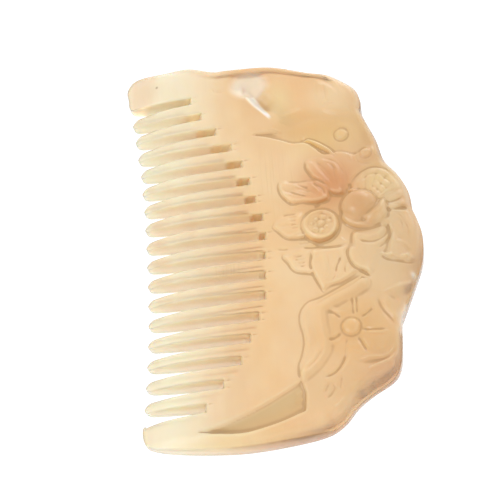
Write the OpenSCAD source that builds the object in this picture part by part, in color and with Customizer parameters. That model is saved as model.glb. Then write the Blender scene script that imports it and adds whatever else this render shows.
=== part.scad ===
// Carved horn comb, one piece: a thick plate with sawn teeth along one side
// and a relief of two flowers, leaves and a bud over the spine.
// It lies on its flat back. X runs from the teeth to the spine, Y along the comb.

/* [Plate] */
// Length of the comb along Y
comb_length = 105.8; // [98:0.1:111]
// Width of the comb from the tooth tips to the spine, along X
comb_width = 72.4; // [69:0.1:76]
// Height of the carved face over the back
face_height = 7; // [6.4:0.1:7.6]
// Thickness at the tooth tips
tip_height = 2.6; // [2.2:0.1:3]

/* [Teeth] */
// Number of teeth between the two guards
tooth_count = 16; // [12:1:16]
// Distance from one tooth to the next
tooth_pitch = 5.3; // [5:0.05:5.4]
// Width of a slot at its root
slot_root_width = 1.9; // [1.4:0.1:2.4]
// Width of a tooth at its very tip
tooth_tip_width = 0.7; // [0.5:0.1:1]

/* [Relief] */
// Radius of the round bud beside the seed pod
bud_radius = 4.4; // [3.8:0.1:4.8]
// Height of the top of the bud over the back
bud_top = 10.4; // [9.8:0.1:11]
// Radius of the seed pod
pod_radius = 4.5; // [4:0.1:5]
// Height of the rim of the seed pod over the face
pod_rise = 2.2; // [1.8:0.1:2.6]
// Seeds in the outer ring of the pod
pod_seeds = 8; // [6:1:9]
// Radius of the button in the second flower
button_radius = 2.1; // [1.8:0.1:2.4]
// Depth of the long crescent carved into the face
crescent_depth = 2.6; // [1.5:0.1:3.4]

/* [Hidden] */

// Height of the tooth tips that the tables below are drawn at
drawn_tip_height = 2.6;

// Solids that merge reach this far into each other
overlap = 0.8;

// Outline of the plate, counter-clockwise from the lower guard.
// x, y: edge of the back. inset_x, inset_y: from there to the edge of the flat
// face. wall: height of the upright side wall. corner: 1 at a corner.
OUTLINE = [
    [-32.9, -48.4, 21.5,  1.6, 2.6, 0],
    [-31.6, -49.6, 20.5,  2.2, 3.2, 0],
    [-27.9, -51.0, 17.2,  3.0, 4.4, 0],
    [-20.3, -52.1, 10.3,  3.4, 5.4, 0],
    [-10.0, -52.8,  2.0,  2.6, 5.6, 0],
    [  0.4, -52.2,  0.0,  2.2, 5.0, 0],
    [  8.9, -50.9, -2.0,  3.4, 3.6, 0],
    [ 13.3, -48.6, -2.0,  3.4, 3.4, 0],
    [ 16.8, -44.9, -2.0,  4.0, 3.2, 0],
    [ 20.6, -42.2, -1.0,  4.8, 3.0, 0],
    [ 25.6, -39.3, -1.0,  4.0, 3.0, 0],
    [ 27.6, -36.0, -1.6,  2.2, 3.4, 0],
    [ 28.4, -31.0, -1.6,  0.4, 4.4, 0],
    [ 28.9, -25.5, -1.8,  0.0, 4.6, 1],
    [ 33.4, -15.8, -5.0,  2.0, 3.0, 0],
    [ 35.7, -10.0, -3.4,  1.0, 4.0, 0],
    [ 36.2,  -4.5, -2.4,  0.0, 4.6, 0],
    [ 35.4,   0.0, -2.2,  0.0, 4.8, 0],
    [ 34.7,   2.4, -2.0,  0.0, 4.8, 1],
    [ 34.3,   7.7, -2.4,  0.0, 4.6, 0],
    [ 32.2,  13.0, -2.4, -0.6, 4.4, 0],
    [ 29.4,  17.3, -2.0, -0.6, 4.4, 0],
    [ 28.1,  23.3, -1.8,  0.0, 4.4, 0],
    [ 26.2,  28.8, -1.8,  0.0, 4.4, 0],
    [ 24.8,  32.9, -1.8,  0.0, 4.6, 1],
    [ 25.3,  35.7, -2.0, -0.4, 4.4, 0],
    [ 24.3,  39.5, -2.0, -1.0, 4.4, 0],
    [ 21.6,  42.4, -2.0, -1.6, 4.4, 0],
    [ 17.3,  45.3, -1.0, -1.8, 4.6, 0],
    [ 12.2,  46.7,  0.0, -1.6, 4.8, 0],
    [  2.5,  49.8,  0.0, -1.2, 5.2, 0],
    [ -8.8,  50.4,  0.0, -1.0, 5.6, 0],
    [-12.8,  50.5,  2.6, -1.8, 5.8, 0],
    [-19.2,  52.8,  8.6, -4.6, 5.5, 0],
    [-25.6,  52.9, 14.8, -5.2, 4.8, 0],
    [-33.4,  52.8, 22.2, -5.5, 3.2, 0],
    [-36.1,  50.1, 24.6, -4.0, 2.6, 0],
    [-36.0,  46.6, 24.8, -1.6, 2.6, 0],
    [-35.9,  42.6, 24.6, -0.6, 2.6, 0],
    [-34.8,  33.7, 23.2,  0.0, 2.6, 0],
    [-33.5,  21.0, 21.9,  0.0, 2.6, 0],
    [-32.6,   2.0, 21.0,  0.0, 2.6, 0],
    [-32.2, -14.0, 20.6,  0.0, 2.6, 0],
    [-32.5, -27.0, 20.9,  0.0, 2.6, 0],
    [-33.2, -39.0, 21.6,  0.0, 2.6, 0],
    [-33.5, -45.0, 22.0,  0.5, 2.6, 0]
];
OUT_X = 0;
OUT_Y = 1;
OUT_INSET_X = 2;
OUT_INSET_Y = 3;
OUT_WALL = 4;
OUT_CORNER = 5;
samples_per_row = 2;

// Bands of the plate from its side wall (0) to just over the flat face (1):
// share of the way in, share of the rise
BANDS = [[0, 0], [0.22, 0.55], [0.6, 0.88], [1.1, 1.05]];

// Line of the slot roots, from the lower guard up: y, x
ROOT_LINE = [
    [-48, -21.5], [-42.9, -17.7], [-32.9, -9.2], [-17, -2.6], [-0.8, -1.3],
    [20.7, -6], [33, -13.9], [42, -18.5], [47, -21]
];
// Line of the tooth tips, from the lower guard up: y, x
TIP_LINE = [
    [-48, -33.4], [-40.4, -32.7], [-19.5, -31.6], [-3, -31.8],
    [23, -32.9], [39, -34.8], [47, -36.2]
];
// Half of a slot from its root (0) to the tip line (1): share of the length,
// share of the widening
SLOT_FLARE = [
    [0, 0], [0.5, 0.22], [0.75, 0.38], [0.88, 0.55], [0.95, 0.75], [1, 1]
];
slots_middle_y = -0.7;
slot_runout = 4;

// Petals and leaves that rise from the face. x, y: foot. turn: direction of the
// tip from +X. long, wide: size. foot, tip: height of the surface over the
// face. point: 0 round tip, 1 pointed tip.
PETALS = [
    [13.5,  7.5, 158, 12.0,  6.4, 1.6, 0.9, 0.3],
    [15.5,  9.0, 108, 11.5,  9.0, 1.5, 1.1, 0.1],
    [ 9.0,  1.2, 182, 10.0,  6.6, 1.5, 0.9, 0.8],
    [ 9.8, -3.0, 205,  9.0,  6.2, 1.4, 0.8, 0.5],
    [13.5, -3.0, 259, 14.6,  9.0, 1.5, 1.0, 0.9],
    [22.5, -0.5, 258, 13.0,  9.6, 1.6, 1.3, 0.4],
    [23.0,  7.5,  64, 10.0,  9.0, 1.5, 0.9, 0.1],
    [25.0,  3.5,   8,  8.6,  8.4, 1.7, 0.6, 0.2],
    [25.4,  0.5, 293, 12.6, 10.0, 2.0, 1.2, 0.1],
    [ 8.5, 25.5, 322,  9.0,  2.6, 0.9, 0.8, 0.9],
    [ 0.8, 29.0,  24, 11.0,  4.6, 0.3, 1.2, 0.8],
    [14.6, 31.0,  56, 11.0,  9.0, 0.4, 1.0, 0.1],
    [ 9.2, -30.0, 246, 7.6,  3.6, 1.5, 0.7, 0.9],
    [10.8, -30.5, 300, 7.0,  7.0, 0.9, 0.6, 0.6]
];
PET_X = 0;
PET_Y = 1;
PET_TURN = 2;
PET_LONG = 3;
PET_WIDE = 4;
PET_FOOT = 5;
PET_TIP = 6;
PET_POINT = 7;
petal_steps = 7;

// Petals of the second flower, round its button: turn, long, wide
SECOND_FLOWER = [
    [ 62, 8.0, 7.4], [118, 8.0, 7.0], [180, 6.6, 6.0], [232, 8.6, 7.2],
    [292, 9.0, 7.6], [350, 8.8, 7.0], [ 20, 7.6, 6.6]
];
second_foot = 0.5;
second_tip = 1.1;
button_at = [17.3, -26.9];
button_rise = 1.6;

// Folded leaf left of the second flower, along its middle: x, y, width
RIBBON = [
    [20.4, -15.2, 1.8], [16.0, -18.0, 2.6], [11.0, -20.2, 3.8],
    [ 7.9, -23.6, 4.6], [ 7.7, -28.4, 4.2], [ 6.8, -33.2, 3.2],
    [ 4.8, -36.6, 0.9]
];
ribbon_steps = 2;
ribbon_rise = 1.2;

pod_at = [12.1, 0];
pod_tilt = 7;
pod_rim = 0.9;
pod_dish = 0.7;
seed_radius = 0.55;
bud_at = [21.8, 3.9];
// Small round berries: x, y, radius, height over the face
BERRIES = [[19.3, 25.6, 1.6, 0.7], [24.2, 18.0, 1.8, 0.7]];

// Shallow hollows carved into the face: x, y, radius on the face, depth
HOLLOWS = [[11.5, 27.5, 7.5, 1.6], [3.4, 39.0, 6.0, 2.2]];

// Crescent carved into the face below the teeth, round its edge: x, y
CRESCENT = [
    [-20.2, -48.6], [-12.5, -49.6], [-5, -49.1], [0, -47.9], [4.8, -45.8],
    [5.2, -42], [4.6, -38.8], [0, -41.2], [-5, -43.8], [-12, -46.7]
];
crescent_tilt = 10;
crescent_hinge_y = -43;

function wrap(i, n) = (i % n + n) % n;
function mix(a, b, t) = a + (b - a) * t;

// Smooth curve through two rows, with the slope at each
function between(a, b, slope_a, slope_b, t) =
    (2 * pow(t, 3) - 3 * pow(t, 2) + 1) * a
    + (pow(t, 3) - 2 * pow(t, 2) + t) * slope_a
    + (3 * pow(t, 2) - 2 * pow(t, 3)) * b
    + (pow(t, 3) - pow(t, 2)) * slope_b;

// Slope of the outline at a row, where a corner keeps straight ends
function slope(rows, i, ahead) =
    let (n = len(rows), last = rows[wrap(i - 1, n)],
         here = rows[wrap(i, n)], next = rows[wrap(i + 1, n)])
    here[OUT_CORNER] == 1 ? (ahead ? next - here : here - last) : (next - last) / 2;

function closed_curve(rows, steps) = [
    for (i = [0 : len(rows) - 1], k = [0 : steps - 1])
        between(rows[i], rows[wrap(i + 1, len(rows))],
                slope(rows, i, true), slope(rows, i + 1, false), k / steps)
];

function open_curve(rows, steps) =
    let (last = len(rows) - 1)
    concat([
        for (i = [0 : last - 1], k = [0 : steps - 1])
            between(rows[i], rows[i + 1],
                    (rows[i + 1] - rows[max(i - 1, 0)]) / (i == 0 ? 1 : 2),
                    (rows[min(i + 2, last)] - rows[i]) / (i + 2 > last ? 1 : 2),
                    k / steps)
    ], [rows[last]]);

// Value at y in a table of rows y, x
function along(table, y) =
    let (last = len(table) - 1,
         i = max([0, for (k = [0 : last - 1]) if (table[k][0] <= y) k]),
         low = table[i], high = table[i + 1],
         before = table[max(i - 1, 0)], after = table[min(i + 2, last)],
         step = high[0] - low[0])
    between(low[1], high[1],
            step * (high[1] - before[1]) / (high[0] - before[0]),
            step * (after[1] - low[1]) / (after[0] - low[0]),
            (y - low[0]) / step);

// The tables are moved so that the origin is the middle of the comb, and
// stretched to the comb's length and width
drawn_outline = closed_curve(OUTLINE, samples_per_row);
drawn_x = [for (p = drawn_outline) p[OUT_X]];
drawn_y = [for (p = drawn_outline) p[OUT_Y]];
middle = [(min(drawn_x) + max(drawn_x)) / 2, (min(drawn_y) + max(drawn_y)) / 2];
stretch = [comb_width / (max(drawn_x) - min(drawn_x)),
           comb_length / (max(drawn_y) - min(drawn_y))];
function at(p) = [(p[0] - middle[0]) * stretch[0], (p[1] - middle[1]) * stretch[1]];

back_edge = [for (p = drawn_outline) at(p)];

foot_ring = [for (p = back_edge) [p[0], p[1], -overlap]];

// One ring round the plate: share of the way in to the flat face, and of the rise
function plate_ring(share, rise) = [
    for (p = drawn_outline)
        let (wall = p[OUT_WALL] + tip_height - drawn_tip_height,
             flat = at([p[0] + share * p[OUT_INSET_X], p[1] + share * p[OUT_INSET_Y]]))
        [flat[0], flat[1], mix(wall, face_height, rise)]
];

// Closed solid through rings of equal length, the first the lowest
module lofted(rings) {
    n = len(rings[0]);
    last = len(rings) - 1;
    polyhedron(
        points = [for (ring = rings, p = ring) p],
        faces = concat(
            [[for (i = [0 : n - 1]) i]],
            [[for (i = [n - 1 : -1 : 0]) last * n + i]],
            [for (k = [0 : last - 1], i = [0 : n - 1])
                [k * n + i, (k + 1) * n + i, (k + 1) * n + wrap(i + 1, n)]],
            [for (k = [0 : last - 1], i = [0 : n - 1])
                [k * n + i, (k + 1) * n + wrap(i + 1, n), k * n + wrap(i + 1, n)]]
        )
    );
}

// Half width of a petal at share s of its length, as a share of its widest
function petal_width(s, point) =
    let (swell = mix(0.6, 1, sin(90 * min(1, s / 0.45))),
         out = max(0, (s - 0.45) / 0.55))
    max(0.05, swell * pow(1 - pow(out, 2), mix(0.5, 1, point)));

// Edge of a petal along +X from its foot, and of a leaf round its middle line
function petal_edge(long, wide, point) =
    let (side = [for (i = [0 : petal_steps])
        let (s = i / petal_steps)
        [s * long, wide / 2 * petal_width(s, point)]])
    concat([for (p = side) [p[0], -p[1]]],
           [for (i = [petal_steps : -1 : 0]) side[i]]);

function ribbon_edge() =
    let (line = open_curve(RIBBON, ribbon_steps), last = len(line) - 1,
         sides = [for (i = [0 : last])
             let (here = [line[i][0], line[i][1]],
                  run = line[min(i + 1, last)] - line[max(i - 1, 0)],
                  across = [-run[1], run[0]] / norm([run[0], run[1]]))
             [at(here - across * line[i][2] / 2), at(here + across * line[i][2] / 2)]])
    concat([for (p = sides) p[0]], [for (i = [last : -1 : 0]) sides[i][1]]);

// Plate between its flat back and its flat face
module plate() {
    intersection() {
        lofted(concat([foot_ring], [for (b = BANDS) plate_ring(b[0], b[1])]));
        translate([-comb_width, -comb_length, 0])
            cube([2 * comb_width, 2 * comb_length, face_height]);
    }
}

// Edge of one slot, from its upper mouth round the root to its lower mouth
function slot_edge(i) =
    let (y = (tooth_count / 2 - i) * tooth_pitch,
         drawn = y + slots_middle_y,
         root = along(ROOT_LINE, drawn), tip = along(TIP_LINE, drawn),
         mouth = (tooth_pitch - tooth_tip_width) / 2,
         last = len(SLOT_FLARE) - 1,
         side = [for (f = SLOT_FLARE)
             [mix(root, tip, f[0]), mix(slot_root_width / 2, mouth, f[1])]])
    concat([for (k = [last : -1 : 0]) [at(side[k])[0], y + slots_middle_y + side[k][1]]],
           [for (p = side) [at(p)[0], y + slots_middle_y - p[1]]]);

// All the slots and the space before the teeth
module slots() {
    reach = (tooth_count + 1) * tooth_pitch / 2;
    outside = -comb_width / 2 - slot_runout;
    translate([0, 0, -overlap])
        linear_extrude(face_height + 2 * overlap)
            polygon(concat(
                [[outside, slots_middle_y + reach]],
                [for (i = [0 : tooth_count]) each slot_edge(i)],
                [[outside, slots_middle_y - reach]]
            ));
}

// Petal from its foot, sloping evenly to its tip
module petal(foot_at, turn, long, wide, foot, tip, point) {
    slope = atan2(tip - foot, long);
    translate([at(foot_at)[0], at(foot_at)[1], face_height + foot])
        rotate([0, -slope, turn])
            translate([0, 0, -foot - overlap])
                linear_extrude(foot + overlap)
                    polygon(petal_edge(long, wide, point));
}

module seed_pod() {
    top = pod_rise;
    translate([at(pod_at)[0], at(pod_at)[1], face_height])
        rotate([-pod_tilt, 0, 0]) {
            rotate_extrude()
                polygon([
                    [0, -overlap], [pod_radius - 0.3, -overlap],
                    [pod_radius, top - 0.4], [pod_radius - 0.3, top],
                    [pod_radius - pod_rim, top],
                    [pod_radius - pod_rim - 0.3, top - pod_dish],
                    [0, top - pod_dish]
                ]);
            translate([0, 0, top - pod_dish])
                sphere(seed_radius * 1.3);
            for (k = [0 : pod_seeds - 1])
                rotate(360 * k / pod_seeds)
                    translate([pod_radius * 0.55, 0, top - pod_dish])
                        sphere(seed_radius);
        }
}

// Part of a ball that stands out of the face: foot radius and height
module cap(p, foot, rise) {
    ball = (pow(foot, 2) + pow(rise, 2)) / (2 * rise);
    translate([at(p)[0], at(p)[1], face_height + rise - ball])
        sphere(ball);
}

module carved_hollow(h) {
    ball = (pow(h[2], 2) + pow(h[3], 2)) / (2 * h[3]);
    translate([at(h)[0], at(h)[1], face_height - h[3] + ball])
        sphere(ball);
}

module carved_crescent() {
    hinge = at([0, crescent_hinge_y])[1];
    translate([0, hinge, face_height - crescent_depth])
        rotate([-crescent_tilt, 0, 0])
            translate([0, -hinge, 0])
                linear_extrude(2 * crescent_depth)
                    polygon([for (p = CRESCENT) at(p)]);
}

module relief() {
    for (p = PETALS)
        petal(p, p[PET_TURN], p[PET_LONG], p[PET_WIDE], p[PET_FOOT],
              p[PET_TIP], p[PET_POINT]);
    for (p = SECOND_FLOWER)
        petal(button_at, p[0], p[1], p[2], second_foot, second_tip, 0.1);
    translate([0, 0, face_height - overlap])
        linear_extrude(overlap + ribbon_rise)
            polygon(ribbon_edge());
    seed_pod();
    cap(bud_at, bud_radius, bud_top - face_height);
    cap(button_at, button_radius, button_rise);
    for (b = BERRIES) cap(b, b[2], b[3]);
}

module comb() {
    color("wheat")
        difference() {
            union() {
                difference() {
                    plate();
                    for (h = HOLLOWS) carved_hollow(h);
                }
                relief();
            }
            slots();
            carved_crescent();
        }
}

comb();
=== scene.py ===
import math

import bpy
import numpy as np
from mathutils import Matrix, Vector
from mathutils.geometry import delaunay_2d_cdt
from mathutils.kdtree import KDTree


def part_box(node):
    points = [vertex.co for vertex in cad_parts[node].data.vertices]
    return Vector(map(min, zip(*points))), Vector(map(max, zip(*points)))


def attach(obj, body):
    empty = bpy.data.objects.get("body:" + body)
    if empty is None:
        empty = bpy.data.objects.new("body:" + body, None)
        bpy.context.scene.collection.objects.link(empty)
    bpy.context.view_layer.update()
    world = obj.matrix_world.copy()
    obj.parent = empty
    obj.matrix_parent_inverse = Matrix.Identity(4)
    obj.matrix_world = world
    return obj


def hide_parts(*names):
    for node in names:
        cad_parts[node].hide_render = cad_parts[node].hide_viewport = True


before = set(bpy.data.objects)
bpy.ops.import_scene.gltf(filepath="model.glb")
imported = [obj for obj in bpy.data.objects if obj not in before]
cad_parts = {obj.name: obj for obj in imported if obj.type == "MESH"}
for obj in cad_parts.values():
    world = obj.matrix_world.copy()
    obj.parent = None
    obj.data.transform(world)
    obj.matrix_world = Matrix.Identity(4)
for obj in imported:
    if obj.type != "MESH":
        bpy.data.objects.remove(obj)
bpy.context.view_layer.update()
MM = 0.001

# Sizes of the comb, in millimetres

FACE = 7.0
TIP_HEIGHT = 2.6
PITCH = 5.3
TEETH = 16
SLOTS_MIDDLE_Y = -0.7
TINY = 1e-9

# Outline of the plate, counter-clockwise from the lower guard. x, y: edge of
# the back. inset_x, inset_y: from there to the edge of the flat face. wall:
# height of the upright side wall. corner: 1 at a corner.
OUTLINE = np.array([
    [-33, -48.6, 21.5, 1.6, 2.6, 0],
    [-31.9, -49.8, 20.5, 2.2, 3.2, 0],
    [-27.9, -51, 17.2, 3, 4.4, 0],
    [-20.3, -52.1, 10.3, 3.4, 5.4, 0],
    [-10, -52.8, 2, 2.6, 5.6, 0],
    [0.4, -52.2, 0, 2.2, 5, 0],
    [8.9, -50.9, -2, 3.4, 3.6, 0],
    [13.3, -48.6, -2, 3.4, 3.4, 0],
    [16.8, -44.9, -2, 4, 3.2, 0],
    [20.6, -42.2, -1, 4.8, 3, 0],
    [25.6, -39.3, -1, 4, 3, 0],
    [27.6, -36, -1.6, 2.2, 3.4, 0],
    [28.4, -31, -1.6, 0.4, 4.4, 0],
    [28.9, -25.5, -1.8, 0, 4.6, 1],
    [33.4, -15.8, -5, 2, 3, 0],
    [35.7, -10, -3.4, 1, 4, 0],
    [36.2, -4.5, -2.4, 0, 4.6, 0],
    [35.4, 0, -2.2, 0, 4.8, 0],
    [34.7, 2.4, -2, 0, 4.8, 1],
    [34.3, 7.7, -2.4, 0, 4.6, 0],
    [32.2, 13, -2.4, -0.6, 4.4, 0],
    [29.4, 17.3, -2, -0.6, 4.4, 0],
    [28.1, 23.3, -1.8, 0, 4.4, 0],
    [26.2, 28.8, -1.8, 0, 4.4, 0],
    [24.8, 32.9, -1.8, 0, 4.6, 1],
    [25.3, 35.7, -2, -0.4, 4.4, 0],
    [24.3, 39.5, -2, -1, 4.4, 0],
    [21.6, 42.4, -2, -1.6, 4.4, 0],
    [17.3, 45.3, -1, -1.8, 4.6, 0],
    [12.2, 46.7, 0, -1.6, 4.8, 0],
    [2.5, 49.8, 0, -1.2, 5.2, 0],
    [-8.8, 50.4, 0, -1, 5.6, 0],
    [-12.8, 50.5, 2.6, -1.8, 5.8, 0],
    [-19.2, 52.8, 8.6, -4.6, 5.5, 0],
    [-25.6, 52.9, 14.8, -5.2, 4.8, 0],
    [-33.5, 53.1, 22.2, -5.5, 3.2, 0],
    [-36.3, 50.4, 24.6, -4, 2.6, 0],
    [-36, 46.6, 24.8, -1.6, 2.6, 0],
    [-35.9, 42.6, 24.6, -0.6, 2.6, 0],
    [-34.8, 33.7, 23.2, 0, 2.6, 0],
    [-33.5, 21, 21.9, 0, 2.6, 0],
    [-32.6, 2, 21, 0, 2.6, 0],
    [-32.2, -14, 20.6, 0, 2.6, 0],
    [-32.5, -27, 20.9, 0, 2.6, 0],
    [-33.2, -39, 21.6, 0, 2.6, 0],
    [-33.5, -45, 22, 0.5, 2.6, 0],
])
WALL = 4
CORNER = 5
GUARD_TIP_ROW = 37
# Ends of the wide guard and the narrow guard, beside the first and last slot
WIDE_GUARD_END = [(-36.0, 46.6), (-36.0, 45.7), (-35.9, 44.95), (-35.6, 44.3), (-35.1, 43.9)]
NARROW_GUARD_END = [
    (-33, -44.5), (-33.4, -45.1), (-33.5, -46), (-33.45, -47), (-33.3, -47.9),
]
WIDE_GUARD_TIP = -35.3
NARROW_GUARD_TIP = -33.3

# Roots of the slots on the face, from the wide guard down: x
SLOT_ROOTS = [
    -18.5, -16.0, -12.3, -8.6, -6.0, -4.3, -3.2, -1.7, -1.3,
    -1.7, -2.0, -2.3, -4.2, -6.5, -9.0, -13.4, -17.7,
]
# Tips of the teeth, from the wide guard down: x
TOOTH_TIPS = [
    -35.1, -34.4, -33.8, -33.1, -32.8, -32.4, -32.2, -32.0,
    -31.9, -31.8, -31.8, -31.8, -32.0, -32.3, -32.7, -33.1,
]
# How far each root leans towards the tips on the back
ROOT_SLANTS = [2.5] * 7 + [2.0, 1.5] + [1.2] * 8
# Half width of a tooth from its root (0) to its tip (1)
TOOTH_SHARE = [0.0, 0.45, 0.7, 0.88, 1.0]
TOOTH_HALF = [1.72, 1.52, 1.38, 1.2, 0.95]
TIP_ROUND = 1.9
# Points along the side of a tooth: near its tip, then this far apart
TIP_STEPS = [0.0, 0.05, 0.15, 0.3, 0.5, 0.8, 1.15, 1.55, 2.0, 2.6, 3.4]
SIDE_START = 4.2
SIDE_STEP = 0.62
GUARD_START = 0.8
# Lattice of points on the face: on the teeth up to this x, and beyond it
TEETH_END_X = -6.0
TEETH_STEP = 0.5
FACE_STEP = 0.26
LATTICE_CLEAR = 0.6

CURVE_STEPS = 6
# Grid for heights, and the fall of the face towards its edge
CELL = 0.25
GRID_LOW = np.array([-39.0, -55.0])
GRID_SIZE = (312, 440)
CROWN = 2.8
CROWN_RINGS = 25
CROWN_BLUR = 1.2


def slot_y(i):
    """Middle of slot i, counted from the wide guard down."""
    return SLOTS_MIDDLE_Y + (TEETH / 2 - i) * PITCH


TIP_Y = [slot_y(i + 0.5) for i in range(TEETH)]
SLOT_Y = [slot_y(i) for i in range(TEETH + 1)]


def row_x(y, row_y, values):
    """Line through the tips or the roots: x at any y."""
    return np.interp(y, row_y[::-1], values[::-1])


# Curves

def hermite(a, b, slope_a, slope_b, t):
    return (
        (2 * t**3 - 3 * t**2 + 1) * a
        + (t**3 - 2 * t**2 + t) * slope_a
        + (3 * t**2 - 2 * t**3) * b
        + (t**3 - t**2) * slope_b
    )


def row_slope(rows, i, ahead):
    """Slope of the outline at a row, with a corner where the row asks for one."""
    n = len(rows)
    last, here, nxt = rows[(i - 1) % n], rows[i % n], rows[(i + 1) % n]
    if here[CORNER] == 1:
        return nxt - here if ahead else here - last
    return (nxt - last) / 2


def outline_curve(rows, first, last, steps):
    out = []
    for i in range(first, last):
        a, b = rows[i % len(rows)], rows[(i + 1) % len(rows)]
        slopes = row_slope(rows, i, True), row_slope(rows, i + 1, False)
        out += [hermite(a, b, *slopes, k / steps) for k in range(steps)]
    return np.array(out)


def smooth_line(points, closed=False):
    """Smooth curve through points; a third value of 1 keeps a corner."""
    rows = np.array([[*p, 0.0] if len(p) == 2 else p for p in points], float)
    n = len(rows)
    if not closed:
        rows[[0, -1], 2] = 1
    out = []
    for i in range(n if closed else n - 1):
        p0, p1, p2, p3 = (rows[(i + k - 1) % n] for k in range(4))
        slope_a = p2 - p1 if p1[2] else (p2 - p0) / 2
        slope_b = p2 - p1 if p2[2] else (p3 - p1) / 2
        for k in range(CURVE_STEPS):
            out.append(hermite(p1, p2, slope_a, slope_b, k / CURVE_STEPS)[:2])
    return np.array(out if closed else [*out, rows[-1][:2]])


def smooth_loop(points):
    return smooth_line(points, True)


# Distances and soft shares

def smoothstep(x):
    x = np.clip(x, 0, 1)
    return x * x * (3 - 2 * x)


def bell(gap, width):
    """1 where the gap is 0, fading out over the width to both sides."""
    return np.exp(-((gap / width) ** 2))


def dome(gap, radius, power=2):
    """1 in the middle of a round form, 0 from its radius outwards."""
    return np.sqrt(np.clip(1 - (gap / radius) ** power, 0, 1))


def gap_from(points, place, radii=(1, 1)):
    """Distance from a place, or 1 on the oval with these radii about it."""
    return np.linalg.norm((points - np.array(place)) / np.array(radii), axis=1)


def inside_loop(points, loop):
    inside = np.zeros(len(points), bool)
    for a, b in zip(loop, np.roll(loop, -1, 0)):
        if a[1] != b[1]:
            cross = (a[1] > points[:, 1]) != (b[1] > points[:, 1])
            at_x = a[0] + (points[:, 1] - a[1]) * (b[0] - a[0]) / (b[1] - a[1])
            inside ^= cross & (points[:, 0] < at_x)
    return inside


def points_near(points, line, reach):
    low, high = line.min(0) - reach, line.max(0) + reach
    return np.nonzero(((points > low) & (points < high)).all(1))[0]


def nearest(p, starts, ends, reach):
    """Distance to the nearest of some segments, the gap from it, and its number
    plus the share of the way along it."""
    best = np.full(len(p), float(reach))
    gap = np.zeros((len(p), 2))
    along = np.zeros(len(p))
    for k, (a, b) in enumerate(zip(starts, ends)):
        ab = b - a
        t = np.clip(((p - a) @ ab) / max(ab @ ab, TINY), 0, 1)
        d = p - a - t[:, None] * ab
        size = np.linalg.norm(d, axis=1)
        closer = size < best
        best[closer], gap[closer] = size[closer], d[closer]
        along[closer] = k + t[closer]
    return best, gap, along


def edge_of(points, loop, reach=2.5):
    """Distance into a closed loop, negative outside and -reach far away, and
    the direction out of it at the nearest edge."""
    out = np.full(len(points), -float(reach))
    way = np.zeros((len(points), 2))
    near = points_near(points, loop, reach)
    p = points[near]
    best, gap, _ = nearest(p, loop, np.roll(loop, -1, 0), reach)
    sign = np.where(inside_loop(p, loop), 1, -1)
    out[near] = sign * best
    way[near] = -sign[:, None] * gap / np.maximum(best, TINY)[:, None]
    return out, way


def signed_distance(points, loop, reach):
    return edge_of(points, loop, reach)[0]


def line_distance(points, line, reach):
    """Distance to an open line and the share of the way along it."""
    dist = np.full(len(points), float(reach))
    share = np.zeros(len(points))
    near = points_near(points, line, reach)
    dist[near], _, along = nearest(points[near], line[:-1], line[1:], reach)
    run = np.cumsum([0, *np.linalg.norm(np.diff(line, axis=0), axis=1)])
    share[near] = np.interp(along, range(len(line)), run / run[-1])
    return dist, share


def share_between(points, low, high, reach):
    """Share of the way from one line to another."""
    to_low, _ = line_distance(points, low, reach)
    to_high, _ = line_distance(points, high, reach)
    return to_low / np.maximum(to_low + to_high, TINY)


# Height of the plate without its relief, on a fine grid

def plate_grid():
    grid = np.full(GRID_SIZE, FACE)
    curve = outline_curve(OUTLINE, 0, len(OUTLINE), 7)
    curve = np.vstack([curve, curve[:1]])
    middle = np.array([0.0, -1.0])
    beyond = curve[:, :2] + (curve[:, :2] - middle) * 0.3
    rings = [np.column_stack([beyond, curve[:, WALL]])]
    for share in np.linspace(0, 1, CROWN_RINGS):
        rise = 1 - (1 - share) ** CROWN
        ring = curve[:, :2] + share * curve[:, 2:4]
        height = curve[:, WALL] + (FACE - curve[:, WALL]) * rise
        rings.append(np.column_stack([ring, height]))
    rings = np.array(rings)
    for k in range(len(rings) - 1):
        for i in range(len(curve) - 1):
            quad = rings[[k, k, k + 1, k + 1], [i, i + 1, i + 1, i]]
            for tri in (quad[[0, 1, 2]], quad[[0, 2, 3]]):
                stamp(grid, tri)
    return blur(grid, CROWN_BLUR)


def stamp(grid, tri):
    """Lowers the grid to a triangle where that is lower."""
    q = (tri[:, :2] - GRID_LOW) / CELL
    lo = np.maximum(np.ceil(q.min(0)).astype(int), 0)
    hi = np.minimum(np.floor(q.max(0)).astype(int), np.array(GRID_SIZE) - 1)
    if (hi < lo).any():
        return
    a, b, c = q
    det = (b[0] - a[0]) * (c[1] - a[1]) - (c[0] - a[0]) * (b[1] - a[1])
    if abs(det) < TINY:
        return
    gx, gy = np.meshgrid(
        np.arange(lo[0], hi[0] + 1), np.arange(lo[1], hi[1] + 1), indexing="ij"
    )
    s = ((gx - a[0]) * (c[1] - a[1]) - (c[0] - a[0]) * (gy - a[1])) / det
    t = ((b[0] - a[0]) * (gy - a[1]) - (gx - a[0]) * (b[1] - a[1])) / det
    ok = (s >= -0.01) & (t >= -0.01) & (s + t <= 1.01)
    z = tri[0, 2] + s * (tri[1, 2] - tri[0, 2]) + t * (tri[2, 2] - tri[0, 2])
    view = grid[lo[0]:hi[0] + 1, lo[1]:hi[1] + 1]
    view[ok] = np.minimum(view[ok], z[ok])


def blur(grid, sigma):
    """The grid blurred over sigma cells."""
    size = int(3 * sigma + 1)
    k = bell(np.arange(-size, size + 1), sigma * math.sqrt(2))
    k /= k.sum()
    for axis in (0, 1):
        pad = [(size, size) if a == axis else (0, 0) for a in (0, 1)]
        wide = np.pad(grid, pad, mode="edge")
        grid = sum(
            w * np.take(wide, np.arange(grid.shape[axis]) + i, axis)
            for i, w in enumerate(k)
        )
    return grid


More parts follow.
